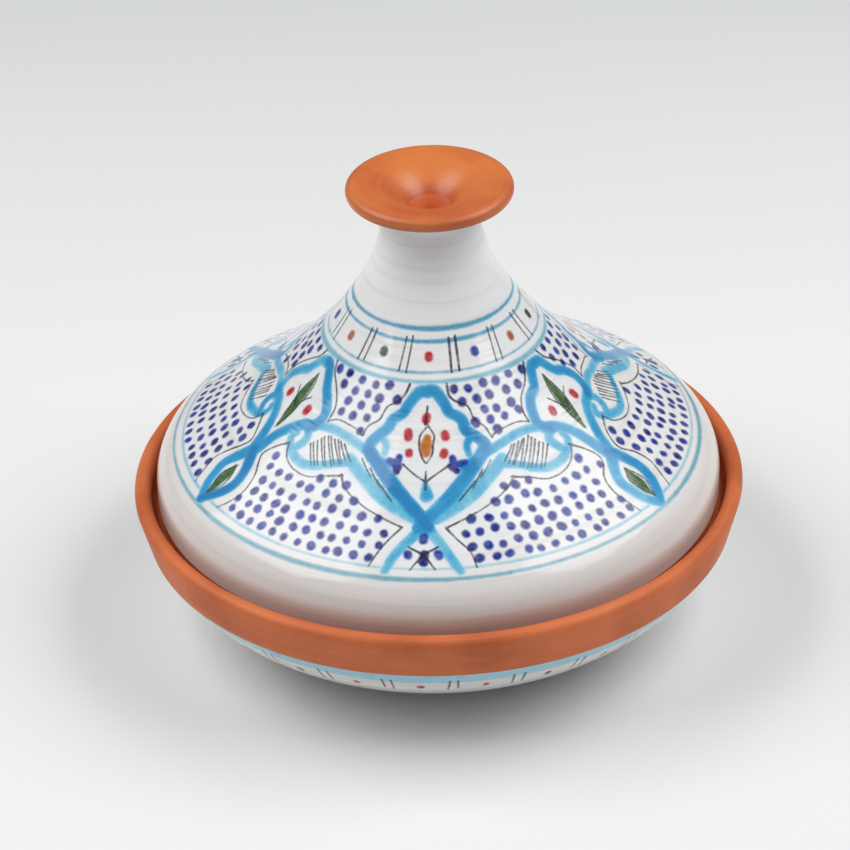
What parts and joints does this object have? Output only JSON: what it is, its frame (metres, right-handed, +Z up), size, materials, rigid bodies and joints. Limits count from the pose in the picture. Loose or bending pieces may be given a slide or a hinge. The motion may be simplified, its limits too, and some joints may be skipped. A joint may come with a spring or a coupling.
{
  "type": "tagine pot",
  "caption": "Painted earthenware tagine: a shallow round dish with a ledge inside its bare clay rim, and a tall conical lid with a cup-shaped knob that seats on the ledge.",
  "frame": {"origin": "on the turning axis, in the plane of the foot ring's underside, which is the surface that the pot stands on", "axes": "+Z up along the turning axis; -Y towards the side of the painting that is taken as the front"},
  "size_m": [0.3, 0.3, 0.2333],
  "materials": {
    "terracotta": "matte",
    "oiled_terracotta": "satin",
    "white_glaze": "gloss",
    "painted_glaze": "gloss"
  },
  "bodies": {
    "dish": {"dish_body": "terracotta", "foot_ring": "terracotta", "dish_outer_glaze": "white_glaze", "dish_inner_glaze": "white_glaze"},
    "lid": {"lid_body": "terracotta", "lid_knob": "oiled_terracotta", "lid_outer_glaze": "painted_glaze", "lid_inner_glaze": "white_glaze"}
  },
  "joints": [
    {"name": "lid_lift", "type": "slide", "parent": "dish", "child": "lid", "axis": [0, 0, 1], "range_m": [0, 0.15]}
  ]
}
